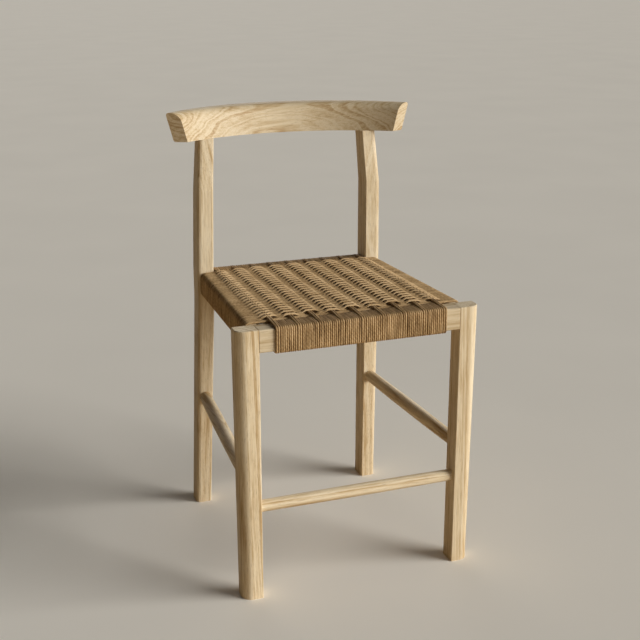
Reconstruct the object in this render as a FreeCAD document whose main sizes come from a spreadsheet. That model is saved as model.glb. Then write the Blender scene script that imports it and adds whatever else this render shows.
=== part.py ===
# Counter stool with a low back: four wooden legs, seat rails, round stretchers,
# a carved crest rail on the two bent back posts, and a seat woven from natural cord.
# Millimetres, +Z up, the stool faces -Y. Everything is drawn from the front face of
# the front legs (y = 0) and moved so that the origin lies under the middle of the box.
import FreeCAD, Part
import math
import os
import re
import Sketcher
from FreeCAD import Placement, Rotation, Vector

SIZES = {
    # front legs: straight inside, tapered outside, with a large round outer front corner
    "front_leg_height": 610,
    "front_leg_inside": 226,
    "front_leg_top_width": 48.5,
    "front_leg_foot_width": 44,
    "front_leg_depth": 42,
    "front_leg_round": 22,
    "top_ease": 1.6,
    # back posts: foot, straight stretch at the seat rails, bend, and top under the crest
    "back_foot_inside": 207.5,
    "back_foot_front": 496.5,
    "back_foot_width": 37.5,
    "back_foot_depth": 46,
    "back_seat_inside": 194.5,
    "back_seat_front": 457.5,
    "back_seat_width": 39,
    "back_seat_depth": 51,
    "back_seat_margin": 15,
    "back_bend_height": 808,
    "back_bend_inside": 191.5,
    "back_bend_front": 452,
    "back_bend_width": 38,
    "back_bend_depth": 50,
    "back_top_inside": 184,
    "back_top_front": 463,
    "back_top_width": 36,
    "back_top_depth": 43,
    "back_round": 9,
    "edge_ease": 2.5,
    # seat rails with stub tenons
    "rail_height": 49,
    "rail_round": 3,
    "front_rail_thickness": 42,
    "back_rail_thickness": 30,
    "back_rail_setback": 12,
    "side_rail_thickness": 26,
    "side_rail_front_overlap": 15,
    "side_rail_back_inset": 5,
    "side_rail_round": 8,
    "tenon_thickness": 10,
    "tenon_height": 31,
    "tenon_length": 13,
    "tenon_gap": 0.1,
    "mortise_spare": 1,
    # crest rail: a crescent in plan, leaning back, thick over the posts and thin at its ends
    "crest_bottom": 929,
    "crest_height": 66,
    "crest_front_radius": 448,
    "crest_back_overhang": 2.5,
    "crest_back_radius": 395,
    "crest_front_lean": 11.5,
    "crest_back_lean": 14,
    "crest_end_half": 253,
    "crest_end_turn": 25,
    "crest_end_lean": 14,
    "crest_front_round": 24,
    "crest_back_round": 6,
    "crest_under_ease": 2.5,
    "dowel_radius": 5,
    "dowel_length": 60,
    "dowel_spacing": 17,
    "dowel_gap": 0.1,
    # round stretchers, a little fuller in the middle
    "front_stretcher_height": 210,
    "front_stretcher_middle_radius": 13.8,
    "front_stretcher_end_radius": 13,
    "side_stretcher_front_height": 278,
    "side_stretcher_back_height": 293,
    "side_stretcher_middle_radius": 15.8,
    "side_stretcher_end_radius": 14.3,
    "socket_depth": 20,
    "socket_gap": 0.1,
    # cord seat: pairs of warp cords front to back, the weft panel, and the turns on the rails
    "cord": 4.8,
    "cord_slack": 0.3,
    "warp_front_spacing": 47,
    "warp_back_spacing": 46,
    "wrap_turn_spacing": 13.4,
    "sleeve_gap": 1,
    "weave_end_gap": 1,
}
WARP_PAIRS = 9
FRONT_WRAP_TURNS = 2
PATH_STEP = 2
CORD_SIDES = [Vector(1, 0, 0), Vector(0, 1, 0), Vector(-1, 0, 0), Vector(0, -1, 0)]

# Places that several pieces share, as expressions of the sizes
RAIL_BOTTOM = "(front_leg_height - rail_height)"
TENON_BOTTOM = "(front_leg_height - rail_height / 2 - tenon_height / 2)"
COVER = "(cord + cord_slack)"
SIDE_FRONT_OUT = "(front_leg_inside + side_rail_front_overlap)"
SIDE_FRONT_IN = "(" + SIDE_FRONT_OUT + " - side_rail_thickness)"
SIDE_BACK_OUT = "(back_seat_inside + back_seat_width - side_rail_back_inset - cord - cord_slack)"
SIDE_BACK_IN = "(" + SIDE_BACK_OUT + " - side_rail_thickness)"
BACK_RAIL_FRONT = "(back_seat_front + back_rail_setback)"
POST_TOP_X = "(back_top_inside + back_top_width / 2)"
POST_TOP_Y = "(back_top_front + back_top_depth / 2)"
CREST_FRONT_CENTRE = "(back_top_front - sqrt(crest_front_radius ^ 2 - %s ^ 2))" % POST_TOP_X
CREST_POST_BACK = "(back_top_front + back_top_depth + crest_back_overhang)"
CREST_BACK_CENTRE = "(%s - sqrt(crest_back_radius ^ 2 - %s ^ 2))" % (CREST_POST_BACK, POST_TOP_X)
CREST_BACK_SLOPE = "sqrt(crest_height ^ 2 + crest_back_lean ^ 2)"
CREST_BACK_TRIM = "(crest_back_lean + %s - crest_height) / crest_height" % CREST_BACK_SLOPE
CREST_REAR = "(%s + crest_back_radius + crest_back_lean - crest_back_round * %s)" % (
    CREST_BACK_CENTRE, CREST_BACK_TRIM)
ORIGIN_BACK = "((" + CREST_REAR + " - " + COVER + ") / 2)"

doc = FreeCAD.newDocument("woven_stool")
sheet = doc.addObject("Spreadsheet::Sheet", "Dims")
for row, (alias, number_text) in enumerate(SIZES.items(), start=1):
    sheet.set("A%d" % row, alias)
    sheet.set("B%d" % row, str(number_text))
    sheet.setAlias("B%d" % row, alias)
doc.recompute()


# Expressions, placing and sketching

def bound(text):
    """The expression with every size pointed at its cell of the sheet."""
    def cell(word):
        name = word.group()
        return "Dims." + name if name in SIZES else name
    return re.sub(r"[a-z_]+", cell, text)


def number(text):
    return float(sheet.evalExpression(bound(text)))


def tie(item, **properties):
    for name, text in properties.items():
        item.setExpression(name.replace("__", "."), bound(text))


def place(item, x="0", y="0", z="0"):
    """Puts an item at a point measured from the front face of the front legs."""
    tie(item, Placement__Base__x=x, Placement__Base__y=y + " - " + ORIGIN_BACK, Placement__Base__z=z)
    return item


def new_body(name):
    return place(doc.addObject("PartDesign::Body", name))


def new_sketch(body, name, role, height="0"):
    sketch = body.newObject("Sketcher::SketchObject", name)
    sketch.AttachmentSupport = [(next(f for f in body.Origin.OriginFeatures if f.Role == role), "")]
    sketch.MapMode = "FlatFace"
    tie(sketch, AttachmentOffset__Base__z=height)
    return sketch


def point(x, y):
    return Vector(number(x), number(y), 0)


def hold(sketch, kind, *args):
    """Adds a constraint whose last argument is an expression."""
    index = sketch.addConstraint(Sketcher.Constraint(kind, *args[:-1], number(args[-1])))
    sketch.setExpression("Constraints[%d]" % index, bound(args[-1]))


def pin(sketch, geometry, end, x, y):
    hold(sketch, "DistanceX", -1, 1, geometry, end, x)
    hold(sketch, "DistanceY", -1, 1, geometry, end, y)


def draw_chain(sketch, corners):
    """Straight lines from corner to corner, left open between the last and the first."""
    lines = []
    for here, there in zip(corners, corners[1:]):
        lines.append(sketch.addGeometry(Part.LineSegment(point(*here), point(*there)), False))
        pin(sketch, lines[-1], 1, *here)
        pin(sketch, lines[-1], 2, *there)
    return lines


def draw_polygon(sketch, corners):
    lines = []
    for here, there in zip(corners, corners[1:] + corners[:1]):
        lines.append(sketch.addGeometry(Part.LineSegment(point(*here), point(*there)), False))
        pin(sketch, lines[-1], 1, *here)
    for before, after in zip(lines, lines[1:] + lines[:1]):
        sketch.addConstraint(Sketcher.Constraint("Coincident", before, 2, after, 1))


def draw_rounded_box(sketch, x_low, x_high, y_low, y_high, rounds):
    """A rectangle with four corner radii, counter-clockwise from the low corner."""
    signs = ((1, 1), (-1, 1), (-1, -1), (1, -1))
    corners = ((x_low, y_low), (x_high, y_low), (x_high, y_high), (x_low, y_high))
    enter, leave, centre = [], [], []
    for index, ((x, y), (sx, sy), radius) in enumerate(zip(corners, signs, rounds)):
        along_x = ("%s + %d * (%s)" % (x, sx, radius), y)
        along_y = (x, "%s + %d * (%s)" % (y, sy, radius))
        enter.append(along_y if index % 2 == 0 else along_x)
        leave.append(along_x if index % 2 == 0 else along_y)
        centre.append((along_x[0], along_y[1]))
    lines = []
    for index in range(4):
        after = (index + 1) % 4
        lines += draw_chain(sketch, [leave[index], enter[after]])
    for index in range(4):
        circle = Part.Circle(point(*centre[index]), Vector(0, 0, 1), number(rounds[index]))
        start = math.pi + index * math.pi / 2
        arc = sketch.addGeometry(Part.ArcOfCircle(circle, start, start + math.pi / 2), False)
        sketch.addConstraint(Sketcher.Constraint("Coincident", arc, 1, lines[index - 1], 2))
        sketch.addConstraint(Sketcher.Constraint("Coincident", arc, 2, lines[index], 1))
        hold(sketch, "Radius", arc, rounds[index])


def faceted_corner(x, y, sx, sy, radius, chords, first_turn):
    """Points of a rounded corner drawn with straight chords, counter-clockwise."""
    points = []
    for step in range(chords + 1):
        turn = first_turn + math.pi / 2 * step / chords
        across, along = sx + math.cos(turn), sy + math.sin(turn)
        points.append(("%s + (%s) * %.6f" % (x, radius, across), "%s + (%s) * %.6f" % (y, radius, along)))
    return points


def loft(body, sketches):
    skin = body.newObject("PartDesign::AdditiveLoft", body.Name + "Loft")
    skin.Profile = sketches[0]
    skin.Sections = sketches[1:]
    skin.Ruled = True
    doc.recompute()
    return skin


def pad(body, sketch, length, both_ways=False, backwards=False):
    block = body.newObject("PartDesign::Pad", sketch.Name + "Pad")
    block.Profile = sketch
    block.Midplane = both_ways
    block.Reversed = backwards
    tie(block, Length=length)
    doc.recompute()
    return block


def dress_edges(kind, body, base, wanted):
    feature = body.newObject("PartDesign::" + kind, "%s%s%d" % (body.Name, kind, len(body.Group)))
    feature.Base = (base, ["Edge%d" % i for i, edge in enumerate(base.Shape.Edges, start=1) if wanted(edge)])
    return feature


def fillet(body, base, radius, wanted):
    """Rounds the edges of a feature that satisfy a test."""
    feature = dress_edges("Fillet", body, base, wanted)
    tie(feature, Radius=radius)
    doc.recompute()
    return feature


def ease(body, base, size, wanted):
    """Takes the edges of a feature that satisfy a test off at 45 degrees."""
    feature = dress_edges("Chamfer", body, base, wanted)
    tie(feature, Size=size)
    doc.recompute()
    return feature


def is_upright(edge):
    return edge.BoundBox.ZLength > edge.Length / 2


def cutter_box(name, x, y, z, length, width, height):
    box = doc.addObject("Part::Box", name)
    tie(box, Length=length, Width=width, Height=height)
    return place(box, x, y, z)


def rod(name, radius, length, x, y, z, rotation=None):
    cylinder = doc.addObject("Part::Cylinder", name)
    tie(cylinder, Radius=radius, Height=length)
    if rotation:
        cylinder.Placement = Placement(Vector(), rotation)
    return place(cylinder, x, y, z)


def group(name, items):
    compound = doc.addObject("Part::Compound", name)
    compound.Links = items
    return compound


def cut(name, base, tools):
    result = doc.addObject("Part::Cut", name)
    result.Base = base
    result.Tool = tools[0] if len(tools) == 1 else group(name + "_cuts", tools)
    return result


def mirrored(name, source):
    twin = doc.addObject("Part::Mirroring", name)
    twin.Source = source
    twin.Normal = Vector(1, 0, 0)
    return twin


# Legs

def front_leg_body():
    body = new_body("FrontLeg")
    taper = new_sketch(body, "FrontLegTaper", "XZ_Plane")
    inside, top = "front_leg_inside", "front_leg_height"
    draw_polygon(taper, [(inside, "0"), (inside + " + front_leg_foot_width", "0"),
                         (inside + " + front_leg_top_width", top), (inside, top)])
    block = pad(body, taper, "front_leg_depth", backwards=True)
    middle = number("front_leg_inside + front_leg_foot_width / 2")

    def outer_front(edge):
        return edge.BoundBox.YMax < 0.01 and edge.BoundBox.XMin > middle and is_upright(edge)

    rounded = fillet(body, block, "front_leg_round", outer_front)
    back = number("front_leg_depth")
    rounded = fillet(body, rounded, "edge_ease", lambda edge: is_upright(edge) and (
        edge.BoundBox.XMax < middle or edge.BoundBox.YMin > back - 0.01))
    level = number(top)
    ease(body, rounded, "top_ease", lambda edge: edge.BoundBox.ZMin > level - 0.01)
    return body


def back_leg_body():
    body = new_body("BackLeg")
    stations = (
        ("foot", "0"),
        ("seat", RAIL_BOTTOM + " - back_seat_margin"),
        ("seat", "front_leg_height + back_seat_margin"),
        ("bend", "back_bend_height"),
        ("top", "crest_bottom"),
    )
    sections = []
    for index, (name, height) in enumerate(stations):
        sketch = new_sketch(body, "BackLeg_%s_%d" % (name, index), "XY_Plane", height)
        inside, front = "back_%s_inside" % name, "back_%s_front" % name
        outside = "%s + back_%s_width" % (inside, name)
        back = "%s + back_%s_depth" % (front, name)
        points = faceted_corner(inside, front, 1, 1, "edge_ease", 1, math.pi)
        points += faceted_corner(outside, front, -1, 1, "back_round", 3, 1.5 * math.pi)
        points += faceted_corner(outside, back, -1, -1, "back_round", 3, 0)
        points += faceted_corner(inside, back, 1, -1, "edge_ease", 1, 0.5 * math.pi)
        draw_polygon(sketch, points)
        sections.append(sketch)
    loft(body, sections)
    return body


# Rails: a rounded bar between two legs with a tenon at each end

def cross_rail(name, half_length, front, thickness):
    body = new_body(name)
    bar = new_sketch(body, name + "_bar", "YZ_Plane")
    back = "%s + %s" % (front, thickness)
    draw_rounded_box(bar, front, back, RAIL_BOTTOM, "front_leg_height", ("rail_round",) * 4)
    pad(body, bar, "2 * " + half_length, both_ways=True)
    tenon = new_sketch(body, name + "_tenon", "YZ_Plane")
    low = "%s + %s / 2 - tenon_thickness / 2" % (front, thickness)
    high = low + " + tenon_thickness"
    draw_polygon(tenon, [(low, TENON_BOTTOM), (high, TENON_BOTTOM),
                         (high, TENON_BOTTOM + " + tenon_height"), (low, TENON_BOTTOM + " + tenon_height")])
    pad(body, tenon, "2 * (%s + tenon_length)" % half_length, both_ways=True)
    return body


def cross_mortise(name, face, front, thickness):
    y = "%s + %s / 2 - tenon_thickness / 2 - tenon_gap" % (front, thickness)
    return cutter_box(name, face, y, TENON_BOTTOM + " - tenon_gap", "tenon_length + mortise_spare",
                      "tenon_thickness + 2 * tenon_gap", "tenon_height + 2 * tenon_gap")


SIDE_FRONT_TENON = "(front_leg_inside + side_rail_front_overlap / 2)"
SIDE_BACK_TENON = "((%s + %s) / 2)" % (SIDE_BACK_IN, SIDE_BACK_OUT)


def side_plan(grow, front_end, back_end):
    """Plan outline of the side rail, made wider on each side by grow."""
    return [("%s - %s" % (SIDE_FRONT_IN, grow), front_end), ("%s + %s" % (SIDE_FRONT_OUT, grow), front_end),
            ("%s + %s" % (SIDE_BACK_OUT, grow), back_end), ("%s - %s" % (SIDE_BACK_IN, grow), back_end)]


def is_lengthwise(edge):
    return edge.BoundBox.YLength > edge.Length / 2


def side_rail_body():
    body = new_body("SideRail")
    bar = new_sketch(body, "SideRail_bar", "XY_Plane", RAIL_BOTTOM)
    draw_polygon(bar, side_plan("0", "front_leg_depth", "back_seat_front"))
    block = pad(body, bar, "rail_height")
    fillet(body, block, "side_rail_round", is_lengthwise)
    for end, x, y in (("front", SIDE_FRONT_TENON, "front_leg_depth - tenon_length"),
                      ("back", SIDE_BACK_TENON, "back_seat_front - tenon_length")):
        tenon = new_sketch(body, "SideRail_tenon_" + end, "XY_Plane", TENON_BOTTOM)
        low, high = x + " - tenon_thickness / 2", x + " + tenon_thickness / 2"
        inner = y + " + 2 * tenon_length"
        draw_polygon(tenon, [(low, y), (high, y), (high, inner), (low, inner)])
        pad(body, tenon, "tenon_height")
    return body


def side_mortise(name, middle, y):
    x = middle + " - tenon_thickness / 2 - tenon_gap"
    return cutter_box(name, x, y, TENON_BOTTOM + " - tenon_gap", "tenon_thickness + 2 * tenon_gap",
                      "tenon_length + mortise_spare", "tenon_height + 2 * tenon_gap")


# Stretchers: turned about their own axis, with plain ends that go into round sockets

def stretcher_body(name, length, prefix):
    body = doc.addObject("PartDesign::Body", name)
    sketch = new_sketch(body, name + "_profile", "XY_Plane")
    end, middle = prefix + "_end_radius", prefix + "_middle_radius"
    far = "%s - socket_depth" % length
    corners = [(far, end), (length, end), (length, "0"), ("0", "0"), ("0", end), ("socket_depth", end)]
    lines = draw_chain(sketch, corners)
    crown = Part.Arc(point(*corners[-1]), point("%s / 2" % length, middle), point(*corners[0]))
    arc = sketch.addGeometry(crown, False)
    half, rise = "(%s / 2 - socket_depth)" % length, "(%s - %s)" % (middle, end)
    sketch.addConstraint(Sketcher.Constraint("Coincident", arc, 2, lines[-1], 2))
    sketch.addConstraint(Sketcher.Constraint("Coincident", arc, 1, lines[0], 1))
    hold(sketch, "Radius", arc, "(%s * %s + %s * %s) / (2 * %s)" % (half, half, rise, rise, rise))
    turned = body.newObject("PartDesign::Revolution", name + "Turned")
    turned.Profile = sketch
    turned.ReferenceAxis = (sketch, ["H_Axis"])
    turned.Angle = 360
    doc.recompute()
    return body


def part_way(low, high, level, upper):
    """Value at a level, on a straight line from low at the floor to high at the upper level."""
    return "(%s + (%s - (%s)) * %s / %s)" % (low, high, low, level, upper)


SIDE_FRONT_LEVEL, SIDE_BACK_LEVEL = "side_stretcher_front_height", "side_stretcher_back_height"
BACK_STRAIGHT = "(%s - back_seat_margin)" % RAIL_BOTTOM
SIDE_START_X = part_way("front_leg_inside + front_leg_foot_width / 2",
                        "(front_leg_inside + front_leg_top_width / 2)", SIDE_FRONT_LEVEL, "front_leg_height")
SIDE_END_X = part_way("back_foot_inside + back_foot_width / 2", "(back_seat_inside + back_seat_width / 2)",
                      SIDE_BACK_LEVEL, BACK_STRAIGHT)
SIDE_END_Y = part_way("back_foot_front", "back_seat_front", SIDE_BACK_LEVEL, BACK_STRAIGHT)
SIDE_ACROSS = "(%s - %s)" % (SIDE_END_X, SIDE_START_X)
SIDE_BACK = "(%s - front_leg_depth)" % SIDE_END_Y
SIDE_CLIMB = "(%s - %s)" % (SIDE_BACK_LEVEL, SIDE_FRONT_LEVEL)
SIDE_RUN = "sqrt(%s ^ 2 + %s ^ 2 + %s ^ 2)" % (SIDE_ACROSS, SIDE_BACK, SIDE_CLIMB)
SIDE_AXIS = Vector(number(SIDE_ACROSS), number(SIDE_BACK), number(SIDE_CLIMB))


def side_axis_point(distance):
    """A point on the side stretcher's axis, at a distance from the front leg's back face."""
    share = "(%s) / %s" % (distance, SIDE_RUN)
    starts = (SIDE_START_X, "front_leg_depth", SIDE_FRONT_LEVEL)
    steps = (SIDE_ACROSS, SIDE_BACK, SIDE_CLIMB)
    return ["%s + %s * %s" % (first, step, share) for first, step in zip(starts, steps)]


# Crest rail: a cone turned about one axis, hollowed by a second cone, with turned and leaning ends

def turned_about(body, name, middle, kind):
    """A sketch whose vertical axis stands at a distance behind the front legs, and its full turn."""
    sketch = new_sketch(body, name, "YZ_Plane")
    tie(sketch, AttachmentOffset__Base__x=middle)
    feature = body.newObject("PartDesign::" + kind, name + "Turned")
    feature.Profile = sketch
    feature.ReferenceAxis = (sketch, ["V_Axis"])
    feature.Angle = 360
    return sketch, feature


def is_circle(radius):
    return lambda edge: isinstance(edge.Curve, Part.Circle) and abs(edge.Curve.Radius - radius) < 0.01


def crest_body():
    body = new_body("Crest")
    top, bottom = "(crest_bottom + crest_height)", "crest_bottom"
    sketch, outside = turned_about(body, "CrestBack", CREST_BACK_CENTRE, "Revolution")
    wide = "(crest_back_radius + crest_back_lean)"
    draw_polygon(sketch, [("0", bottom), ("crest_back_radius", bottom), (wide, top), ("0", top)])
    doc.recompute()
    outside = fillet(body, outside, "crest_back_round", is_circle(number(wide)))
    ease(body, outside, "crest_under_ease", is_circle(number("crest_back_radius")))

    sketch, inside = turned_about(body, "CrestFront", CREST_FRONT_CENTRE, "Groove")
    slope = "sqrt(crest_front_lean ^ 2 + crest_height ^ 2)"
    reach = "(crest_front_round * sqrt((%s - crest_front_lean) / (%s + crest_front_lean)))" % (slope, slope)
    high_radius = "(crest_front_radius + crest_front_lean)"
    start = ("%s - %s * crest_front_lean / %s" % (high_radius, reach, slope),
             "%s - %s * crest_height / %s" % (top, reach, slope))
    end = ("%s + %s" % (high_radius, reach), top)
    over = end[1] + " + mortise_spare"
    corners = [end, (end[0], over), ("0", over), ("0", bottom), ("crest_front_radius", bottom), start]
    lines = draw_chain(sketch, corners)
    centre = Vector(number(end[0]), number(top) - number("crest_front_round"), 0)
    turn = math.atan2(number("crest_front_lean"), number("crest_height"))
    circle = Part.Circle(centre, Vector(0, 0, 1), number("crest_front_round"))
    arc = sketch.addGeometry(Part.ArcOfCircle(circle, math.pi / 2, math.pi - turn), False)
    sketch.addConstraint(Sketcher.Constraint("Coincident", arc, 1, lines[0], 1))
    sketch.addConstraint(Sketcher.Constraint("Coincident", arc, 2, lines[-1], 2))
    hold(sketch, "Radius", arc, "crest_front_round")
    doc.recompute()
    return body


def crest_end_cutter():
    """The space beyond the right end, whose face is turned towards the front and leans out at the top."""
    body = new_body("CrestEnd")
    across, along = "cos(crest_end_turn * 1 deg)", "sin(crest_end_turn * 1 deg)"
    y = CREST_FRONT_CENTRE + " + sqrt(crest_front_radius ^ 2 - crest_end_half ^ 2)"
    far = "(2 * (crest_front_radius + crest_back_radius))"
    sections = []
    for name, height, lean in (("Low", "crest_bottom - mortise_spare", "0"),
                               ("High", "crest_bottom + crest_height + mortise_spare", "crest_end_lean")):
        x = "crest_end_half + " + lean
        sketch = new_sketch(body, "CrestEnd" + name, "XY_Plane", height)
        near = ("%s - %s * %s" % (x, far, across), "%s - %s * %s" % (y, far, along))
        back = ("%s + %s * %s" % (x, far, across), "%s + %s * %s" % (y, far, along))
        outline = [back, near]
        for side_x, side_y in (near, back):
            outline.append(("%s + %s * %s" % (side_x, far, along), "%s - %s * %s" % (side_y, far, across)))
        draw_polygon(sketch, outline)
        sections.append(sketch)
    loft(body, sections)
    return body


# Cord: windings on the front and back rails, warp pairs, and the plain weft solids

def rounded_path(corners, radius):
    """Straight runs joined by tangent arcs of one radius."""
    edges, last = [], corners[0]
    for before, here, after in zip(corners, corners[1:], corners[2:]):
        inward, outward = (before - here).normalize(), (after - here).normalize()
        half_turn = (math.pi - inward.getAngle(outward)) / 2
        reach = radius * math.tan(half_turn)
        start, end = here + inward * reach, here + outward * reach
        middle = here + (inward + outward).normalize() * radius * (1 / math.cos(half_turn) - 1)
        edges.append(Part.LineSegment(last, start).toShape())
        edges.append(Part.Arc(start, middle, end).toShape())
        last = end
    edges.append(Part.LineSegment(last, corners[-1]).toShape())
    return Part.Wire(edges)


def winding(columns, y_low, y_high):
    """One unbroken cord with a turn at each column, stepping sideways on the rail's inner face."""
    half_cord = number("cord") / 2
    away = number("cord_slack") + half_cord
    bottom, top = number(RAIL_BOTTOM) - away, number("front_leg_height") + away
    outer, inner = y_low - away, y_high + away
    middle = (bottom + top) / 2
    corners = [Vector(columns[0], inner, middle)]
    for x in columns:
        turn = ((inner, bottom), (outer, bottom), (outer, top), (inner, top))
        corners += [Vector(x, y, z) for y, z in turn]
    corners.append(Vector(columns[-1], inner, middle))
    path = rounded_path(corners, number("rail_round") + away)
    section = Part.makePolygon([corners[0] + side * half_cord for side in CORD_SIDES + CORD_SIDES[:1]])
    tube = path.makePipeShell([section], True, False)
    expected = 2 * half_cord ** 2 * path.Length
    gap = least_gap(path) - number("cord")
    ratio = tube.Volume / expected
    print("winding of %d turns: volume ratio %.4f, least gap %.2f mm" % (len(columns), ratio, gap))
    return tube


def least_gap(path):
    """Least distance between stretches of the path that are more than a rail height apart along it."""
    count = int(path.Length / PATH_STEP)
    points = path.discretize(count)
    apart = int(number("rail_height") * count / path.Length)
    return min(points[i].distanceToPoint(points[j]) for i in range(count) for j in range(i + apart, count))


def in_spaces(spacing, make):
    """What make gives for the middle of each space between two warp pairs."""
    middles = [(space - (WARP_PAIRS - 2) / 2) * spacing for space in range(WARP_PAIRS - 1)]
    return Part.makeCompound([make(middle) for middle in middles])


def front_windings():
    def turns_at(middle):
        steps = [index - (FRONT_WRAP_TURNS - 1) / 2 for index in range(FRONT_WRAP_TURNS)]
        columns = [middle + step * number("wrap_turn_spacing") for step in steps]
        return winding(columns, 0, number("front_rail_thickness"))
    return in_spaces(number("warp_front_spacing"), turns_at)


def back_sleeves():
    half = number("warp_back_spacing / 2 - cord - sleeve_gap")
    front = number(BACK_RAIL_FRONT)
    sleeve = ring_on_rail(half, front, front + number("back_rail_thickness"))
    return in_spaces(number("warp_back_spacing"), lambda middle: sleeve.translated(Vector(middle, 0, 0)))


def box_between(x_half, y_low, y_high, z_low, z_high):
    return Part.makeBox(2 * x_half, y_high - y_low, z_high - z_low, Vector(-x_half, y_low, z_low))


def ring_on_rail(x_half, y_low, y_high):
    """A band of cord round a rail."""
    slack, cover = number("cord_slack"), number(COVER)
    bottom, top = number(RAIL_BOTTOM), number("front_leg_height")
    outside = box_between(x_half, y_low - cover, y_high + cover, bottom - cover, top + cover)
    lengthwise = [e for e in outside.Edges if abs(e.Vertexes[0].X - e.Vertexes[1].X) > x_half]
    outside = outside.makeChamfer(number("rail_round"), lengthwise)
    return outside.cut(box_between(x_half + 1, y_low - slack, y_high + slack, bottom - slack, top + slack))


def warp_bar(x_half, spare):
    """The straight run of a warp pair over both rails, with spare room round it."""
    low = number("front_leg_height + cord_slack") - spare
    high = low + number("cord") + 2 * spare
    front, back = number("front_rail_thickness / 2"), number(BACK_RAIL_FRONT + " + back_rail_thickness / 2")
    return box_between(x_half, front, back, low, high)


def fanned(shape):
    """Copies of a front-to-back shape at every warp pair, drawn together towards the back."""
    front, back = number("front_rail_thickness / 2"), number(BACK_RAIL_FRONT + " + back_rail_thickness / 2")
    copies = []
    for index in range(WARP_PAIRS):
        step = index - (WARP_PAIRS - 1) / 2
        lean = math.atan2(step * number("warp_front_spacing - warp_back_spacing"), back - front)
        start = Vector(step * number("warp_front_spacing"), front, 0)
        turn = Placement(start, Rotation(Vector(0, 0, 1), math.degrees(lean)))
        copy = shape.copy()
        copy.Placement = turn.multiply(Placement(Vector(0, -front, 0), Rotation()))
        copies.append(copy)
    return Part.makeCompound(copies)


def warp_pair():
    half = number("cord")
    back = number(BACK_RAIL_FRONT)
    pair = ring_on_rail(half, 0, number("front_rail_thickness"))
    pair = pair.fuse([ring_on_rail(half, back, back + number("back_rail_thickness")), warp_bar(half, 0)])
    return pair.removeSplitter()


def cord_feature(name, shape):
    feature = doc.addObject("Part::Feature", name)
    feature.Shape = shape
    feature.Placement = Placement(Vector(0, -number(ORIGIN_BACK), 0), Rotation())
    return feature


WEAVE_FRONT = "(front_leg_depth + weave_end_gap)"
WEAVE_BACK = "(back_seat_front - weave_end_gap)"
PANEL_FRONT = "(front_rail_thickness + cord + 2 * cord_slack)"
PANEL_BACK = "(%s - cord - 2 * cord_slack)" % BACK_RAIL_FRONT


def panel_half(depth):
    """Half the width between the side wraps at a depth, on the straight line of the side rails."""
    slope = "(%s - %s) / (back_seat_front - front_leg_depth)" % (SIDE_BACK_IN, SIDE_FRONT_IN)
    return "(%s - %s + %s * (%s - front_leg_depth))" % (SIDE_FRONT_IN, COVER, slope, depth)


def weft_panel_body():
    body = new_body("Weft")
    sketch = new_sketch(body, "Weft_plan", "XY_Plane", "front_leg_height + cord_slack - cord")
    front, back = panel_half(PANEL_FRONT), panel_half(PANEL_BACK)
    draw_polygon(sketch, [("-" + front, PANEL_FRONT), (front, PANEL_FRONT),
                          (back, PANEL_BACK), ("-" + back, PANEL_BACK)])
    pad(body, sketch, "3 * cord")
    return body


def side_wrap_part(name, grow, ends):
    body = new_body(name)
    sketch = new_sketch(body, name + "_plan", "XY_Plane", "%s - %s" % (RAIL_BOTTOM, grow))
    draw_polygon(sketch, side_plan(grow, *ends))
    block = pad(body, sketch, "rail_height + 2 * " + grow)
    fillet(body, block, "side_rail_round + " + grow, is_lengthwise)
    return body


# Assembly

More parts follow.
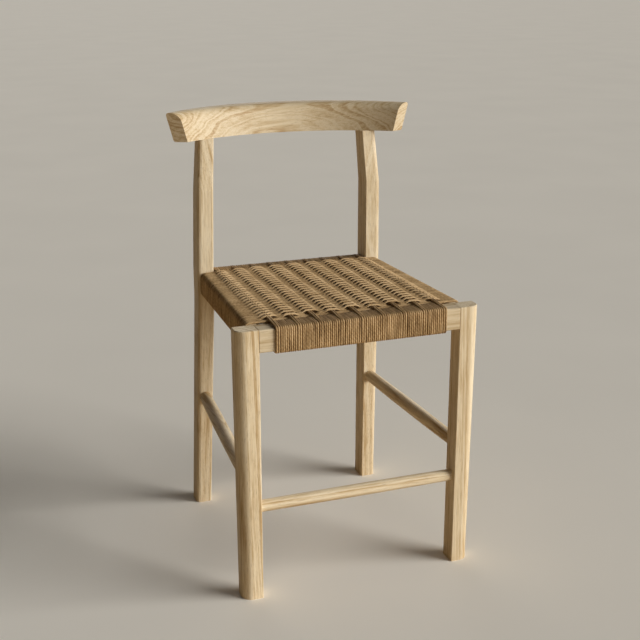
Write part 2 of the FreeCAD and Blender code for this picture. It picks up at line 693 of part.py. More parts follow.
def build():
    nodes = {}
    front_rail = cross_rail("FrontRail", "front_leg_inside", "0", "front_rail_thickness")
    back_rail = cross_rail("BackRail", "back_seat_inside", BACK_RAIL_FRONT, "back_rail_thickness")
    nodes["front_seat_rail"], nodes["back_seat_rail"] = front_rail, back_rail

    along_x = Rotation(Vector(0, 1, 0), 90)
    along_side = Rotation(Vector(0, 0, 1), SIDE_AXIS)
    deep = "(socket_depth + mortise_spare)"
    front_bore = rod("FrontStretcherBore", "front_stretcher_end_radius + socket_gap", deep,
                     "front_leg_inside", "front_leg_depth / 2", "front_stretcher_height", along_x)
    side_bores = []
    for name, start in (("Front", "-" + deep), ("Back", "%s - %s" % (SIDE_RUN, deep))):
        side_bores.append(rod("SideStretcherBore" + name, "side_stretcher_end_radius + socket_gap",
                              "2 * " + deep, *side_axis_point(start), along_side))

    nodes["front_leg_right"] = cut("front_leg_right", front_leg_body(), [
        cross_mortise("FrontRailMortise", "front_leg_inside", "0", "front_rail_thickness"),
        side_mortise("SideRailFrontMortise", SIDE_FRONT_TENON,
                     "front_leg_depth - tenon_length - mortise_spare"),
        front_bore, side_bores[0]])

    bores, dowels = [], []
    for index, sign in enumerate(("-", "+")):
        x, y = POST_TOP_X, "%s %s dowel_spacing / 2" % (POST_TOP_Y, sign)
        low = "crest_bottom - dowel_length / 2"
        dowels.append(rod("Dowel%d" % index, "dowel_radius", "dowel_length", x, y, low))
        bores.append(rod("DowelBore%d" % index, "dowel_radius + dowel_gap",
                         "dowel_length + 2 * mortise_spare", x, y, low + " - mortise_spare"))
    dowel_bores = group("DowelBores", bores)
    nodes["crest_dowels_right"] = group("crest_dowels_right", dowels)

    nodes["back_leg_right"] = cut("back_leg_right", back_leg_body(), [
        cross_mortise("BackRailMortise", "back_seat_inside", BACK_RAIL_FRONT, "back_rail_thickness"),
        side_mortise("SideRailBackMortise", SIDE_BACK_TENON, "back_seat_front"),
        side_bores[1], dowel_bores])
    crest_cuts = [dowel_bores, crest_end_cutter()]
    crest_cuts += [mirrored(tool.Name + "Left", tool) for tool in crest_cuts]
    nodes["crest_rail"] = cut("crest_rail", crest_body(), crest_cuts)

    front_length = "(2 * (front_leg_inside + socket_depth))"
    front_stretcher = stretcher_body("FrontStretcher", front_length, "front_stretcher")
    place(front_stretcher, "-%s / 2" % front_length, "front_leg_depth / 2", "front_stretcher_height")
    nodes["front_stretcher"] = front_stretcher
    side_stretcher = stretcher_body("SideStretcher", "(%s + 2 * socket_depth)" % SIDE_RUN, "side_stretcher")
    side_stretcher.Placement = Placement(Vector(), Rotation(Vector(1, 0, 0), SIDE_AXIS))
    place(side_stretcher, *side_axis_point("-socket_depth"))
    nodes["side_stretcher_right"] = side_stretcher

    nodes["side_seat_rail_right"] = side_rail_body()
    sleeve = side_wrap_part("SideWrapOutside", COVER, (WEAVE_FRONT, WEAVE_BACK))
    hollow = side_wrap_part("SideWrapInside", "cord_slack", ("front_leg_depth", "back_seat_front"))
    nodes["side_rail_wrap_right"] = cut("side_rail_wrap_right", sleeve, [hollow])
    for name in [n for n in nodes if n.endswith("_right")]:
        twin = name.replace("_right", "_left")
        nodes[twin] = mirrored(twin, nodes[name])

    nodes["front_rail_wrap"] = cord_feature("FrontRailWrap", front_windings())
    nodes["back_rail_wrap"] = cord_feature("BackRailWrap", back_sleeves())
    nodes["warp_cords"] = cord_feature("WarpCords", fanned(warp_pair()))
    tunnels = cord_feature("WarpTunnels", fanned(warp_bar(number(COVER), number("cord_slack"))))
    nodes["weft_panel"] = cut("weft_panel", weft_panel_body(), [tunnels])
    return nodes


def export(nodes):
    doc.recompute()
    broken = [item.Name for item in doc.Objects if "Invalid" in item.State or "Error" in item.State]
    for name, item in nodes.items():
        item.Label = name
        if item.Shape.isNull() or not item.Shape.isValid():
            broken.append(name)
    if broken:
        raise RuntimeError("failed objects: " + ", ".join(broken))
    os.makedirs("parts", exist_ok=True)
    for name, item in nodes.items():
        item.Shape.exportStep("parts/%s.step" % name)
        print("%-22s solids %2d volume %9.0f" % (name, len(item.Shape.Solids), item.Shape.Volume))


export(build())
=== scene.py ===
import math
import random

import bpy
import numpy as np
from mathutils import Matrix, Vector


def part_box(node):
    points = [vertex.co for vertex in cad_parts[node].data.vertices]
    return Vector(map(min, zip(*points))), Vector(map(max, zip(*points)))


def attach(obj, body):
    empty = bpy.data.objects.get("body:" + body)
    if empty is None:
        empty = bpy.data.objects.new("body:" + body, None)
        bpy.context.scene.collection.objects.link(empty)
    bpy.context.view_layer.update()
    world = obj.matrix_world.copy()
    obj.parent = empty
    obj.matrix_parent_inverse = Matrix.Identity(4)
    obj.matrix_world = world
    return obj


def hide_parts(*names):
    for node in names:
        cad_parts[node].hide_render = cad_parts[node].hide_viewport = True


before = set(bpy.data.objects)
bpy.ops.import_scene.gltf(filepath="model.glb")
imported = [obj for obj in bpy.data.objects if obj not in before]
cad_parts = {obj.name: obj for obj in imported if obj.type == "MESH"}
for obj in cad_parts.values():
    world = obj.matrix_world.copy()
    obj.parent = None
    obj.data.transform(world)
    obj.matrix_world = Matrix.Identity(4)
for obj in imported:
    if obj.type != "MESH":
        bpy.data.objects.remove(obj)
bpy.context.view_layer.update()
BODY = "root"
MM = 0.001
NEAR = 1 * MM  # counts as the same place
SIDEWAYS, DEPTHWISE = (1, 0, 0), (0, 1, 0)
DRAW_SEED = 7
draw = random.Random(DRAW_SEED)

# Cord on the rails
CORD = 4.8 * MM
SLACK = 0.3 * MM  # free space between cord and wood
AWAY = SLACK + CORD / 2  # from the wood to the middle of the cord
RAIL_ROUND = 3 * MM  # long edges of the front and back rails
SIDE_RAIL_ROUND = 8 * MM
CORNER_RADIUS = RAIL_ROUND + AWAY
SIDE_CORNER_RADIUS = SIDE_RAIL_ROUND + AWAY
WARP_PAIRS = 9
MIDDLE_PAIR = (WARP_PAIRS - 1) / 2
WARP_FRONT_SPACING = 47 * MM
WARP_BACK_SPACING = 46 * MM
WRAPS_PER_SPACE = 8
WRAP_SPARE = 0.8 * MM  # between a warp pair and the turns beside it
WRAP_WANDER = 0.3 * MM  # how far a turn may lie from its even place

# Weave of the seat
WEFT_CORDS = 100
EDGE_CORDS = 2  # at the front and at the back, carried straight across
WEFT_HIGH = 1.5 * MM  # half the height of a pressed weft cord
WEAVE_REACH = 21 * MM  # from the middle of a warp pair to where the weft is level again
WEAVE_FLAT = 0.35  # share of that reach that keeps the full height
WEAVE_LIFT = 3.5 * MM  # of the weave above the cord on the rails
LIFT_REACH = 22 * MM  # depth in which the weave rises by it
FLOAT_RISE = 4.2 * MM
FLOAT_DROP = 6 * MM
FLOAT_VARY = (0.94, 1.04)
FLOAT_NARROW = 0.62
UNDER_WIDEN = 1.6
UNDER_DEEPEN = 1.4 * MM
PAIR_DRAW = 0.38  # share by which the two cords of a row draw together over a warp pair
ROW_BEND = 30 * MM  # stretch in which a row turns from its place on the rail to its place on the seat
TUCKED_DROP = 4 * MM  # of the straight cords below the weave
# painted shade: the straight cords below the weave are darkened as if in the shade of the slits above them
TUCKED_PAINTED_SHADE = -1.0

# Cord meshes
CORD_SIDES = 8
CORD_LAY = 9 * MM  # length of cord to one stripe of its twist
CAP_TURN = 0.5  # place round the cord that its end faces take
RUN_STEP = 2.6 * MM
LONG_STEP = 12 * MM
CORNER_STEPS = 5

# Places read from the frame
FRONT_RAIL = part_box("front_seat_rail")
BACK_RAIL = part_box("back_seat_rail")
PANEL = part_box("weft_panel")
FRONT_OUTER, FRONT_INNER = FRONT_RAIL[0].y - AWAY, FRONT_RAIL[1].y + AWAY
BACK_INNER, BACK_OUTER = BACK_RAIL[0].y - AWAY, BACK_RAIL[1].y + AWAY
CORD_TOP = FRONT_RAIL[1].z + AWAY
CORD_BOTTOM = FRONT_RAIL[0].z - AWAY
CORD_MIDDLE = (CORD_TOP + CORD_BOTTOM) / 2


# Cord tubes

class Strands:
    """Cords gathered into one mesh, with lay coordinates, a tone for each cord, and wear with painted shade
    along it.
    """

    def __init__(self):
        self.points, self.faces, self.uvs, self.tones, self.wear_and_shade = [], [], [], [], []

    def add(self, path, side, wide=CORD / 2, high=CORD / 2, wear_and_shade=0.0):
        """Sweeps an oval section along a path that stays nearly square to the side direction."""
        path = np.asarray(path, float)
        side = np.asarray(side, float)
        along = np.gradient(path, axis=0)
        along /= np.linalg.norm(along, axis=1)[:, None]
        across = side - (along @ side)[:, None] * along
        across /= np.linalg.norm(across, axis=1)[:, None]
        up = np.cross(along, across)
        turns = np.arange(CORD_SIDES) * 2 * math.pi / CORD_SIDES
        wide, high = (np.broadcast_to(half, len(path))[:, None, None] for half in (wide, high))
        ring = wide * np.cos(turns)[None, :, None] * across[:, None, :]
        ring = ring + high * np.sin(turns)[None, :, None] * up[:, None, :]
        first = sum(len(block) for block in self.points)
        self.points.append((path[:, None, :] + ring).reshape(-1, 3))
        self.tones.append(np.full(len(path) * CORD_SIDES, draw.random()))
        self.wear_and_shade.append(np.repeat(np.broadcast_to(wear_and_shade, len(path)), CORD_SIDES))
        lengths = np.linalg.norm(np.diff(path, axis=0), axis=1)
        reach = np.concatenate([[0], np.cumsum(lengths)]) / CORD_LAY + draw.random()
        self.skin(first, len(path), reach)

    def skin(self, first, rings, reach):
        """Faces between the rings and at both ends of a cord, with the lay coordinates of their corners."""
        for here in range(rings - 1):
            low, high = first + here * CORD_SIDES, first + (here + 1) * CORD_SIDES
            start, end = reach[here], reach[here + 1]
            for step in range(CORD_SIDES):
                after = (step + 1) % CORD_SIDES
                self.faces.append((low + step, low + after, high + after, high + step))
                v0, v1 = step / CORD_SIDES, (step + 1) / CORD_SIDES
                self.uvs += [(start, v0), (start, v1), (end, v1), (end, v0)]
        last = first + (rings - 1) * CORD_SIDES
        self.faces.append(tuple(first + step for step in reversed(range(CORD_SIDES))))
        self.faces.append(tuple(last + step for step in range(CORD_SIDES)))
        self.uvs += [(reach[0], CAP_TURN)] * CORD_SIDES + [(reach[-1], CAP_TURN)] * CORD_SIDES

    def build(self, name, material, *nodes):
        """Makes one piece of all the cords, in place of the named nodes."""
        mesh = bpy.data.meshes.new(name)
        mesh.from_pydata(np.concatenate(self.points).tolist(), [], self.faces)
        layer = mesh.uv_layers.new(name="lay")
        layer.data.foreach_set("uv", np.asarray(self.uvs, np.float32).ravel())
        for label, values in (("tone", self.tones), ("wear_and_shade", self.wear_and_shade)):
            attribute = mesh.attributes.new(label, "FLOAT", "POINT")
            attribute.data.foreach_set("value", np.concatenate(values).astype(np.float32))
        mesh.polygons.foreach_set("use_smooth", [True] * len(mesh.polygons))
        mesh.materials.append(material)
        piece = bpy.data.objects.new(name, mesh)
        bpy.context.scene.collection.objects.link(piece)
        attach(piece, BODY)
        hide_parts(*nodes)


def run_points(start, end, step):
    """Even points from the start of a straight run up to its end, which is left out."""
    count = max(1, round((end - start).length / step))
    return [start.lerp(end, index / count) for index in range(count)]


def rounded_route(corners, radius, step):
    """Points along straight runs joined by arcs of one radius."""
    corners = [Vector(corner) for corner in corners]
    points, last = [], corners[0]
    for before, here, after in zip(corners, corners[1:], corners[2:]):
        inward, outward = (before - here).normalized(), (after - here).normalized()
        half_turn = (math.pi - inward.angle(outward)) / 2
        start = here + inward * radius * math.tan(half_turn)
        centre = here + (inward + outward).normalized() * radius / math.cos(half_turn)
        points += run_points(last, start, step)
        arm, normal = start - centre, inward.cross(outward).normalized()
        for index in range(CORNER_STEPS):
            turn = -2 * half_turn * index / CORNER_STEPS
            points.append(centre + arm * math.cos(turn) + normal.cross(arm) * math.sin(turn))
        last = here + outward * radius * math.tan(half_turn)
    points += run_points(last, corners[-1], step)
    points.append(corners[-1])
    return np.array([tuple(point) for point in points])


# Seat: turns on the front and back rails

def wrap_route(columns, outer, inner):
    """One cord with a turn at each column, stepping sideways on the rail's inner face."""
    corners = [(columns[0], inner, CORD_MIDDLE)]
    for x in columns:
        corners += [(x, inner, CORD_BOTTOM), (x, outer, CORD_BOTTOM)]
        corners += [(x, outer, CORD_TOP), (x, inner, CORD_TOP)]
    corners.append((columns[-1], inner, CORD_MIDDLE))
    return rounded_route(corners, CORNER_RADIUS, LONG_STEP)


def rail_wrap(name, node, spacing, outer, inner, material, end_turns=()):
    """Unbroken turns in each space between two warp pairs, and single turns outside the last pairs."""
    strands = Strands()
    pitch = (spacing - 2 * CORD - 2 * WRAP_SPARE) / WRAPS_PER_SPACE
    for space in range(WARP_PAIRS - 1):
        middle = (space + 0.5 - MIDDLE_PAIR) * spacing
        columns = [middle + (turn - (WRAPS_PER_SPACE - 1) / 2) * pitch for turn in range(WRAPS_PER_SPACE)]
        columns = [x + draw.uniform(-WRAP_WANDER, WRAP_WANDER) for x in columns]
        strands.add(wrap_route(columns, outer, inner), SIDEWAYS, wide=pitch / 2)
    for side in end_turns:
        column = side * (MIDDLE_PAIR * spacing + CORD + WRAP_SPARE + pitch / 2)
        strands.add(wrap_route([column], outer, inner), SIDEWAYS, wide=pitch / 2)
    strands.build(name, material, node)


# Seat: warp pairs from rail to rail

def warp_place(index, y):
    """Middle of a warp pair at a depth."""
    spacing = np.interp(y, [FRONT_OUTER, BACK_OUTER], [WARP_FRONT_SPACING, WARP_BACK_SPACING])
    return (index - MIDDLE_PAIR) * spacing


def warp_cords(material):
    """Two cords to each warp pair, round the front rail, over the seat and round the back rail."""
    strands = Strands()
    for index in range(WARP_PAIRS):
        for offset in (-CORD / 2, CORD / 2):
            front, back = (warp_place(index, y) + offset for y in (FRONT_OUTER, BACK_OUTER))
            front_edge, back_edge = (warp_place(index, y) + offset for y in (FRONT_INNER, BACK_INNER))
            strands.add(rounded_route([
                (front, FRONT_INNER, CORD_TOP - CORD), (front, FRONT_INNER, CORD_BOTTOM),
                (front, FRONT_OUTER, CORD_BOTTOM), (front, FRONT_OUTER, CORD_TOP),
                (front_edge, FRONT_INNER, CORD_TOP + WEAVE_LIFT),
                (back_edge, BACK_INNER, CORD_TOP + WEAVE_LIFT),
                (back, BACK_OUTER, CORD_TOP), (back, BACK_OUTER, CORD_BOTTOM),
                (back, BACK_INNER, CORD_BOTTOM), (back, BACK_INNER, CORD_TOP - CORD),
            ], CORNER_RADIUS, LONG_STEP), SIDEWAYS)
    strands.build("warp_pairs", material, "warp_cords")


# Seat: weft cords woven across the warp and round both side rails

def side_lines():
    """Depth of both ends of the cord round the right side rail, and its inner and outer line there."""
    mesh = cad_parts["side_rail_wrap_right"].data
    corners = np.array([vertex.co for vertex in mesh.vertices])
    ends = corners[:, 1].min(), corners[:, 1].max()
    inner_line, outer_line = [], []
    for end in ends:
        at_end = corners[np.abs(corners[:, 1] - end) < NEAR, 0]
        inner_line.append(at_end.min() + CORD / 2)
        outer_line.append(at_end.max() - CORD / 2)
    return ends, inner_line, outer_line


def smooth_share(value, low, high):
    """From 0 at the low value to 1 at the high one, with soft ends."""
    share = np.clip((value - low) / (high - low), 0, 1)
    return share * share * (3 - 2 * share)


def woven_share(x, y, row, edge):
    """From 1 over a warp pair to -1 under it, by turns along a weft cord, and 0 between and at the edge."""
    share = np.zeros_like(x)
    for index in range(WARP_PAIRS):
        middle = warp_place(index, y)
        outward = np.sign(index - MIDDLE_PAIR) * (x - middle) > 0
        reach = np.where(outward, np.minimum(WEAVE_REACH, edge - np.abs(middle)), WEAVE_REACH)
        gone = np.clip((np.abs(x - middle) / reach - WEAVE_FLAT) / (1 - WEAVE_FLAT), 0, 1)
        share += (-1) ** (index + row) * (1 + np.cos(math.pi * gone)) / 2
    return share


def weave_lift(y):
    """How far the weave stands above the cord on the rails at a depth."""
    return WEAVE_LIFT * smooth_share(min(y - PANEL[0].y, PANEL[1].y - y), 0, LIFT_REACH)


def weft_route(y, inner, outer):
    """A weft cord before it is woven: level from side to side, and turned round both side rails."""
    half = [(outer, CORD_TOP), (outer, CORD_BOTTOM), (inner, CORD_BOTTOM), (inner, CORD_TOP - CORD)]
    corners = [(-x, y, z) for x, z in reversed(half)] + [(x, y, z) for x, z in half]
    return rounded_route(corners, SIDE_CORNER_RADIUS, RUN_STEP)


def weft_cords(material):
    """Weft cords over and under the warp and round both side rails, and straight ones tucked in below,
    darkened as painted shade.
    """
    ends, inner_line, outer_line = side_lines()
    half_pitch = (PANEL[1].y - PANEL[0].y) / WEFT_CORDS / 2
    seat_rows = np.linspace(PANEL[0].y + half_pitch, PANEL[1].y - half_pitch, WEFT_CORDS)
    rail_rows = np.linspace(ends[0] + half_pitch, ends[1] - half_pitch, WEFT_CORDS)
    strands = Strands()
    for index, (seat_y, rail_y) in enumerate(zip(seat_rows, rail_rows)):
        row = index // 2
        pair_y = seat_rows[2 * row] + half_pitch
        inner, outer = (np.interp(rail_y, ends, line) for line in (inner_line, outer_line))
        route = weft_route(rail_y, inner, outer)
        x = route[:, 0]
        on_top = route[:, 2] > CORD_TOP - NEAR
        share = woven_share(x, seat_y, row, inner + CORD / 2) * on_top
        share *= EDGE_CORDS <= index < WEFT_CORDS - EDGE_CORDS
        over, under = np.clip(share, 0, 1), np.clip(-share, 0, 1)
        bend_end = abs(warp_place(0, seat_y)) + CORD
        seated = 1 - smooth_share(np.abs(x), bend_end - ROW_BEND, bend_end)
        route[:, 1] += (seat_y - rail_y) * seated + (pair_y - seat_y) * PAIR_DRAW * over
        route[:, 2] += (over * FLOAT_RISE - under * FLOAT_DROP) * draw.uniform(*FLOAT_VARY)
        route[:, 2] += weave_lift(seat_y) * seated * on_top
        wide = half_pitch * (1 - over + over * FLOAT_NARROW - under + under * UNDER_WIDEN)
        high = WEFT_HIGH * seated + CORD / 2 * (1 - seated) + UNDER_DEEPEN * under
        # The share also colours the cord: paler over a warp pair as wear, and darker under it as painted
        # shade where the cord dips.
        strands.add(route, DEPTHWISE, wide, high, share)
    # Straight cords below the weave, darkened with painted shade where they show through the slits.
    for y in seat_rows:
        reach = np.interp(y, ends, inner_line) - CORD / 2
        height = CORD_TOP + weave_lift(y) - TUCKED_DROP
        line = np.linspace((-reach, y, height), (reach, y, height), round(2 * reach / LONG_STEP))
        strands.add(line, DEPTHWISE, half_pitch, WEFT_HIGH, TUCKED_PAINTED_SHADE)
    strands.build("weft_cords", material, "weft_panel", "side_rail_wrap_left", "side_rail_wrap_right")


# Node graphs

class Graph:
    """The node tree of a material or a world, with short calls to add and join nodes."""

    MIX_SHARE, MIX_COLOURS, MIX_RESULT = 0, slice(6, 8), 2  # the colour sockets of a Mix node

    def __init__(self, owner, shader="Principled BSDF"):
        owner.use_nodes = True
        self.owner = owner
        self.tree = owner.node_tree
        self.shader = self.tree.nodes[shader]

    def feed(self, socket, value):
        """Links a socket to another node's output, or sets it to a plain value."""
        if isinstance(value, bpy.types.NodeSocket):
            self.tree.links.new(value, socket)
        else:
            socket.default_value = value

    def fill(self, node, inputs):
        for name, value in inputs.items():
            self.feed(node.inputs[name.replace("_", " ")], value)

    def shade(self, **inputs):
        """Feeds the shader's own sockets."""
        self.fill(self.shader, inputs)

    def node(self, kind, settings=None, **inputs):
        made = self.tree.nodes.new("ShaderNode" + kind)
        for name, value in (settings or {}).items():
            setattr(made, name, value)
        self.fill(made, inputs)
        return made

    def attribute(self, name):
        return self.node("Attribute", {"attribute_name": name}).outputs["Fac"]

    def math(self, operation, *values):
        made = self.node("Math", {"operation": operation})
        for socket, value in zip(made.inputs, values):
            self.feed(socket, value)
        return made.outputs["Value"]

    def weighted(self, *terms):
        """The sum of values, each times its share."""
        total = 0.0
        for value, share in terms:
            total = self.math("MULTIPLY_ADD", value, share, total)
        return total

    def scaled(self, place, factors):
        """A place times a factor for each axis."""
        made = self.node("VectorMath", {"operation": "MULTIPLY"})
        for socket, value in zip(made.inputs, (place, factors)):
            self.feed(socket, value)
        return made.outputs["Vector"]

    def length(self, place):
        return self.node("VectorMath", {"operation": "LENGTH"}, Vector=place).outputs["Value"]

    def noise(self, place, scale, detail, roughness):
        made = self.node("TexNoise", Vector=place, Scale=scale, Detail=detail, Roughness=roughness)
        return made.outputs["Fac"]

    def line_noise(self, value, scale, detail, roughness):
        """Noise that changes with one value."""
        made = self.node("TexNoise", {"noise_dimensions": "1D"}, W=value, Scale=scale, Detail=detail,
                         Roughness=roughness)
        return made.outputs["Fac"]

    def ramp(self, value, stops):
        """Colours set at their places from 0 to 1, and blended between them."""
        made = self.node("ValToRGB", Fac=value)
        band = made.color_ramp
        while len(band.elements) < len(stops):
            band.elements.new(0.5)
        for element, (place, colour) in zip(band.elements, stops):
            element.position = place
            element.color = (*colour, 1)
        return made.outputs["Color"]

    def mix(self, share, first, second):
        made = self.node("Mix", {"data_type": "RGBA"})
        self.feed(made.inputs[self.MIX_SHARE], share)
        for socket, value in zip(made.inputs[self.MIX_COLOURS], (first, second)):
            self.feed(socket, value)
        return made.outputs[self.MIX_RESULT]

    def range(self, value, source, target):
        """A value carried from one range to another."""
        made = self.node("MapRange", Value=value, From_Min=source[0], From_Max=source[1],
                         To_Min=target[0], To_Max=target[1])
        return made.outputs["Result"]

    def seen(self):
        """1 for what the camera sees, straight or mirrored, and 0 for light on its way to the object."""
        rays = self.node("LightPath").outputs
        seen = self.math("MAXIMUM", rays["Is Camera Ray"], rays["Is Glossy Ray"])
        return self.math("MAXIMUM", seen, rays["Is Transmission Ray"])

    def bump(self, height, strength, distance):
        made = self.node("Bump", Height=height, Strength=strength, Distance=distance)
        self.shade(Normal=made.outputs["Normal"])


def srgb(red, green, blue):
    """A colour written in 0 to 255 steps, as linear values."""
    def linear(step):
        share = step / 255
        return share / 12.92 if share <= 0.04045 else ((share + 0.055) / 1.055) ** 2.4
    return linear(red), linear(green), linear(blue)


NOISE_SPREAD = (0.3, 0.7)  # where most of a noise lies


# Wood

WOOD_PALE = srgb(229, 212, 180)
WOOD_MID = srgb(216, 195, 158)
WOOD_DARK = srgb(184, 154, 110)
WOOD_PORE = srgb(128, 96, 60)
WOOD_STOPS = ((0.38, WOOD_DARK), (0.485, WOOD_MID), (0.58, WOOD_PALE))
DEEPEN_POWERS = (1, 1.15, 1.4)
# In a noise, scale is its features to a metre, and along the share of them that is left along the grain
WAVER = {"along": 0.18, "scale": 11, "detail": 3, "roughness": 0.5}
CLOUDS = {"along": 0.3, "scale": 16, "detail": 3, "roughness": 0.6}
STREAKS = {"along": 0.05, "scale": 260, "detail": 3, "roughness": 0.6}
FIBRES = {"along": 0.02, "scale": 1300, "detail": 2, "roughness": 0.6}
RINGS = {"scale": 170, "detail": 2, "roughness": 0.6}
CLOUD_SHARE, RING_SHARE, STREAK_SHARE = 0.32, 0.36, 0.32
PORE_FIBRES, PORE_SHARES = (0.30, 0.44), (0.5, 0)
WOOD_ROUGHNESS = (0.62, 0.48)
WOOD_SPECULAR = 0.25
WOOD_BUMP_STREAKS, WOOD_BUMP, WOOD_BUMP_DEPTH = 0.4, 0.18, 0.35 * MM
STRAIGHT, LIVELY, SWIRLED = 0.012, 0.03, 0.06
LIGHT, FAIR, DEEP = 1.07, 0.985, 0.86
PITH_NEAR, PITH_FAR = 0.06, 0.14
GRAIN_LEAN = math.radians(2.5)
WOOD_NODES = {
    "front_leg_left": ("Z", STRAIGHT, LIGHT), "front_leg_right": ("Z", STRAIGHT, FAIR),
    "back_leg_left": ("Z", LIVELY, FAIR), "back_leg_right": ("Z", LIVELY, FAIR),
    "crest_rail": ("X", SWIRLED, DEEP),
    "front_seat_rail": ("X", LIVELY, DEEP), "back_seat_rail": ("X", LIVELY, DEEP),
    "side_seat_rail_left": ("Y", STRAIGHT, FAIR), "side_seat_rail_right": ("Y", STRAIGHT, FAIR),
    "front_stretcher": ("X", STRAIGHT, LIGHT),
    "side_stretcher_left": ("Y", STRAIGHT, LIGHT), "side_stretcher_right": ("Y", STRAIGHT, LIGHT),
    "crest_dowels_left": ("Z", STRAIGHT, FAIR), "crest_dowels_right": ("Z", STRAIGHT, FAIR),
}


def toned(colour, tone):
    """A colour made darker and a little warmer by a tone under 1, and lighter and cooler by one over it."""
    return tuple(share * tone ** power for share, power in zip(colour, DEEPEN_POWERS))


def wood_material(name, grain, pith, lean, figure, tone):
    """Pale oak: uneven rings about a pith outside the piece, streaks along the grain and short pores."""
    graph = Graph(bpy.data.materials.new(name))
    place = graph.node("TexCoord").outputs["Object"]
    turned = graph.node("Mapping", Vector=place, Location=pith, Rotation=lean).outputs["Vector"]

    def stretched(along):
        return graph.scaled(turned, tuple(along if axis == grain else 1.0 for axis in "XYZ"))

    def grain_noise(along, **settings):
        return graph.noise(stretched(along), **settings)

    waver, clouds, streaks, fibres = (grain_noise(**kind) for kind in (WAVER, CLOUDS, STREAKS, FIBRES))
    distance = graph.math("MULTIPLY_ADD", waver, figure, graph.length(stretched(0.0)))
    rings = graph.line_noise(distance, **RINGS)
    value = graph.weighted((clouds, CLOUD_SHARE), (rings, RING_SHARE), (streaks, STREAK_SHARE))
    colour = graph.ramp(value, [(stop, toned(shade, tone)) for stop, shade in WOOD_STOPS])
    pores = graph.range(fibres, PORE_FIBRES, PORE_SHARES)
    graph.shade(
        Base_Color=graph.mix(pores, colour, (*WOOD_PORE, 1)),
        Roughness=graph.range(streaks, NOISE_SPREAD, WOOD_ROUGHNESS),
        Specular_IOR_Level=WOOD_SPECULAR,
    )
    height = graph.math("MULTIPLY_ADD", streaks, WOOD_BUMP_STREAKS, fibres)
    graph.bump(height, WOOD_BUMP, WOOD_BUMP_DEPTH)
    return graph.owner


def dress_wood():
    """A wood of its own for each wooden node, with the pith and the lean of the grain drawn for it."""
    for node, (grain, figure, tone) in WOOD_NODES.items():
        low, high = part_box(node)
        middle = (low + high) / 2
        pith = [-value + draw.choice((-1, 1)) * draw.uniform(PITH_NEAR, PITH_FAR) for value in middle]
        lean = [draw.uniform(-GRAIN_LEAN, GRAIN_LEAN) for _ in range(3)]
        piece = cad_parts[node]
        piece.data.materials.clear()
        piece.data.materials.append(wood_material(node + "_wood", grain, pith, lean, figure, tone))


# Cord

CORD_PALE = srgb(207, 176, 132)
CORD_MID = srgb(172, 141, 98)
CORD_DARK = srgb(112, 85, 53)
CORD_STOPS = ((0.34, CORD_DARK), (0.54, CORD_MID), (0.74, CORD_PALE))
PLY_COUNT = 3
MOTTLE = {"scale": 190, "detail": 3, "roughness": 0.6}
PATCHES = {"scale": 22, "detail": 2, "roughness": 0.5}
DRIFT = {"scale": 1, "detail": 2, "roughness": 0.5}
DRIFT_ALONG = 0.12  # steps of the drift for each stripe of the twist
DRIFT_APART = 40  # range of steps from which the cords start
# The fifth share weights wear on the floats and painted shade in the dips and on the tucked cords.
MOTTLE_SHARE, PLY_SHARE, DRIFT_SHARE, PATCH_SHARE, WEAR_AND_SHADE_SHARE = 0.30, 0.08, 0.52, 0.22, 0.16
CORD_ROUGHNESS = (0.85, 0.62)
CORD_SPECULAR = 0.2
CORD_BUMP_PLIES, CORD_BUMP, CORD_BUMP_DEPTH = 0.5, 0.5, 0.5 * MM


def cord_material():
    """Twisted natural cord: slanting plies, mottling, patches, a tone that drifts along each cord, and wear
    on the floats with painted shade in the dips.
    """
    graph = Graph(bpy.data.materials.new("natural_cord"))
    lay = graph.node("UVMap", {"uv_map": "lay"}).outputs["UV"]
    parts = graph.node("SeparateXYZ", Vector=lay).outputs
    along, around = parts["X"], parts["Y"]
    turn = graph.math("MULTIPLY_ADD", around, PLY_COUNT, along)
    wave = graph.math("SINE", graph.math("MULTIPLY", turn, 2 * math.pi))
    plies = graph.range(wave, (-1, 1), (0, 1))
    place = graph.node("TexCoord").outputs["Object"]
    mottle = graph.noise(place, **MOTTLE)
    patches = graph.noise(place, **PATCHES)
    start = graph.math("MULTIPLY", graph.attribute("tone"), DRIFT_APART)
    drift = graph.line_noise(graph.math("MULTIPLY_ADD", along, DRIFT_ALONG, start), **DRIFT)
    value = graph.weighted((mottle, MOTTLE_SHARE), (plies, PLY_SHARE), (drift, DRIFT_SHARE),
                           (patches, PATCH_SHARE), (graph.attribute("wear_and_shade"), WEAR_AND_SHADE_SHARE))
    graph.shade(
        Base_Color=graph.ramp(value, CORD_STOPS),
        Roughness=graph.range(mottle, NOISE_SPREAD, CORD_ROUGHNESS),
        Specular_IOR_Level=CORD_SPECULAR,
    )
    height = graph.math("MULTIPLY_ADD", plies, CORD_BUMP_PLIES, mottle)
    graph.bump(height, CORD_BUMP, CORD_BUMP_DEPTH)
    return graph.owner


# Stage, light and camera

FLOOR_RADIUS = 60
FLOOR_SIDES = 96
FLOOR_COLOUR = srgb(226, 198, 156)
FLOOR_SEEN = srgb(250, 244, 232)
FLOOR_DIM = 0.97
FLOOR_CLOUDS = {"scale": 1.5, "detail": 2, "roughness": 0.5}
FLOOR_ROUGHNESS = 0.9
BACKDROP_SEEN = srgb(177, 171, 161)
ROOM_COLOUR = (0.01, 0.0074, 0.0048)
LIGHT_COLOUR = (1, 0.99, 0.97)
LIGHTS = {  # where each comes from, how far it spreads, and its strength
    "key": ((0.84, -0.53, 0.30), math.radians(40), 4.02),
    "front": ((0.3, -0.95, 0.3), math.radians(60), 0.36),
    "back": ((0.15, 1, 0.1), math.radians(40), 0.7),
}
CAMERA_PLACE = (-0.8807, -2.3885, 1.3218)
CAMERA_TURN = (math.radians(72.59), 0, math.radians(-20.47))
CAMERA_LENS = 64.58
SENSOR_WIDTH = 36


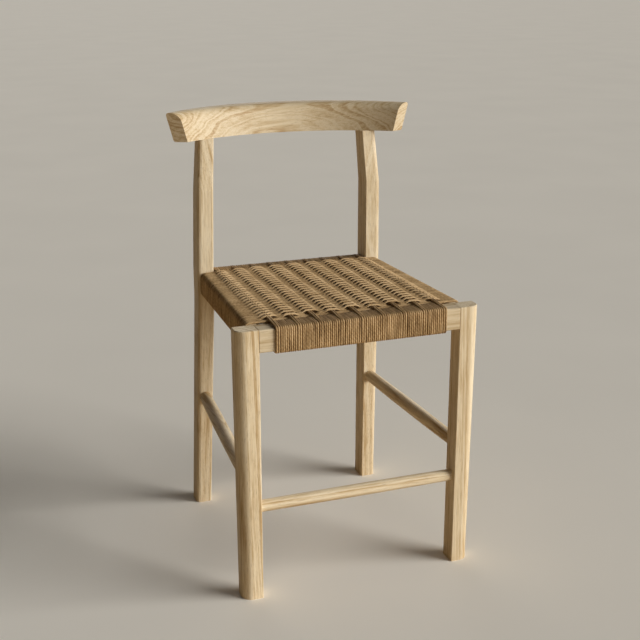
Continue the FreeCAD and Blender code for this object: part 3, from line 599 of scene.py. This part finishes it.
def stage():
    """A round floor, plain and pale, that throws warmer light on the object than it shows."""
    turns = [2 * math.pi * side / FLOOR_SIDES for side in range(FLOOR_SIDES)]
    rim = [(FLOOR_RADIUS * math.cos(turn), FLOOR_RADIUS * math.sin(turn), 0) for turn in turns]
    mesh = bpy.data.meshes.new("floor")
    mesh.from_pydata(rim, [], [tuple(range(FLOOR_SIDES))])
    graph = Graph(bpy.data.materials.new("floor_paint"))
    clouds = graph.noise(graph.node("TexCoord").outputs["Object"], **FLOOR_CLOUDS)
    dim = tuple(FLOOR_DIM * share for share in FLOOR_SEEN)
    shown = graph.ramp(clouds, list(zip(NOISE_SPREAD, (dim, FLOOR_SEEN))))
    graph.shade(Base_Color=graph.mix(graph.seen(), (*FLOOR_COLOUR, 1), shown), Roughness=FLOOR_ROUGHNESS)
    mesh.materials.append(graph.owner)
    floor = bpy.data.objects.new("floor", mesh)
    bpy.context.scene.collection.objects.link(floor)


def lights():
    """Soft lamps from three sides, and a dim room that shows an even tone behind the object."""
    for name, (origin, spread, strength) in LIGHTS.items():
        lamp = bpy.data.lights.new(name, "SUN")
        lamp.energy = strength
        lamp.angle = spread
        lamp.color = LIGHT_COLOUR
        light = bpy.data.objects.new(name, lamp)
        light.rotation_euler = (-Vector(origin)).to_track_quat("-Z", "Y").to_euler()
        bpy.context.scene.collection.objects.link(light)
    graph = Graph(bpy.data.worlds.new("room"), "Background")
    graph.shade(Color=graph.mix(graph.seen(), (*ROOM_COLOUR, 1), (*BACKDROP_SEEN, 1)))
    bpy.context.scene.world = graph.owner


def camera():
    """The camera that was fitted to the photo."""
    lens = bpy.data.cameras.new("camera")
    lens.lens = CAMERA_LENS
    lens.sensor_width = SENSOR_WIDTH
    view = bpy.data.objects.new("camera", lens)
    view.location = CAMERA_PLACE
    view.rotation_euler = CAMERA_TURN
    bpy.context.scene.collection.objects.link(view)
    bpy.context.scene.camera = view


bpy.context.scene.view_settings.view_transform = "Standard"
dress_wood()
cord = cord_material()
rail_wrap("front_wrap_cords", "front_rail_wrap", WARP_FRONT_SPACING, FRONT_OUTER, FRONT_INNER, cord)
rail_wrap("back_wrap_cords", "back_rail_wrap", WARP_BACK_SPACING, BACK_OUTER, BACK_INNER, cord, (-1, 1))
warp_cords(cord)
weft_cords(cord)
stage()
lights()
camera()
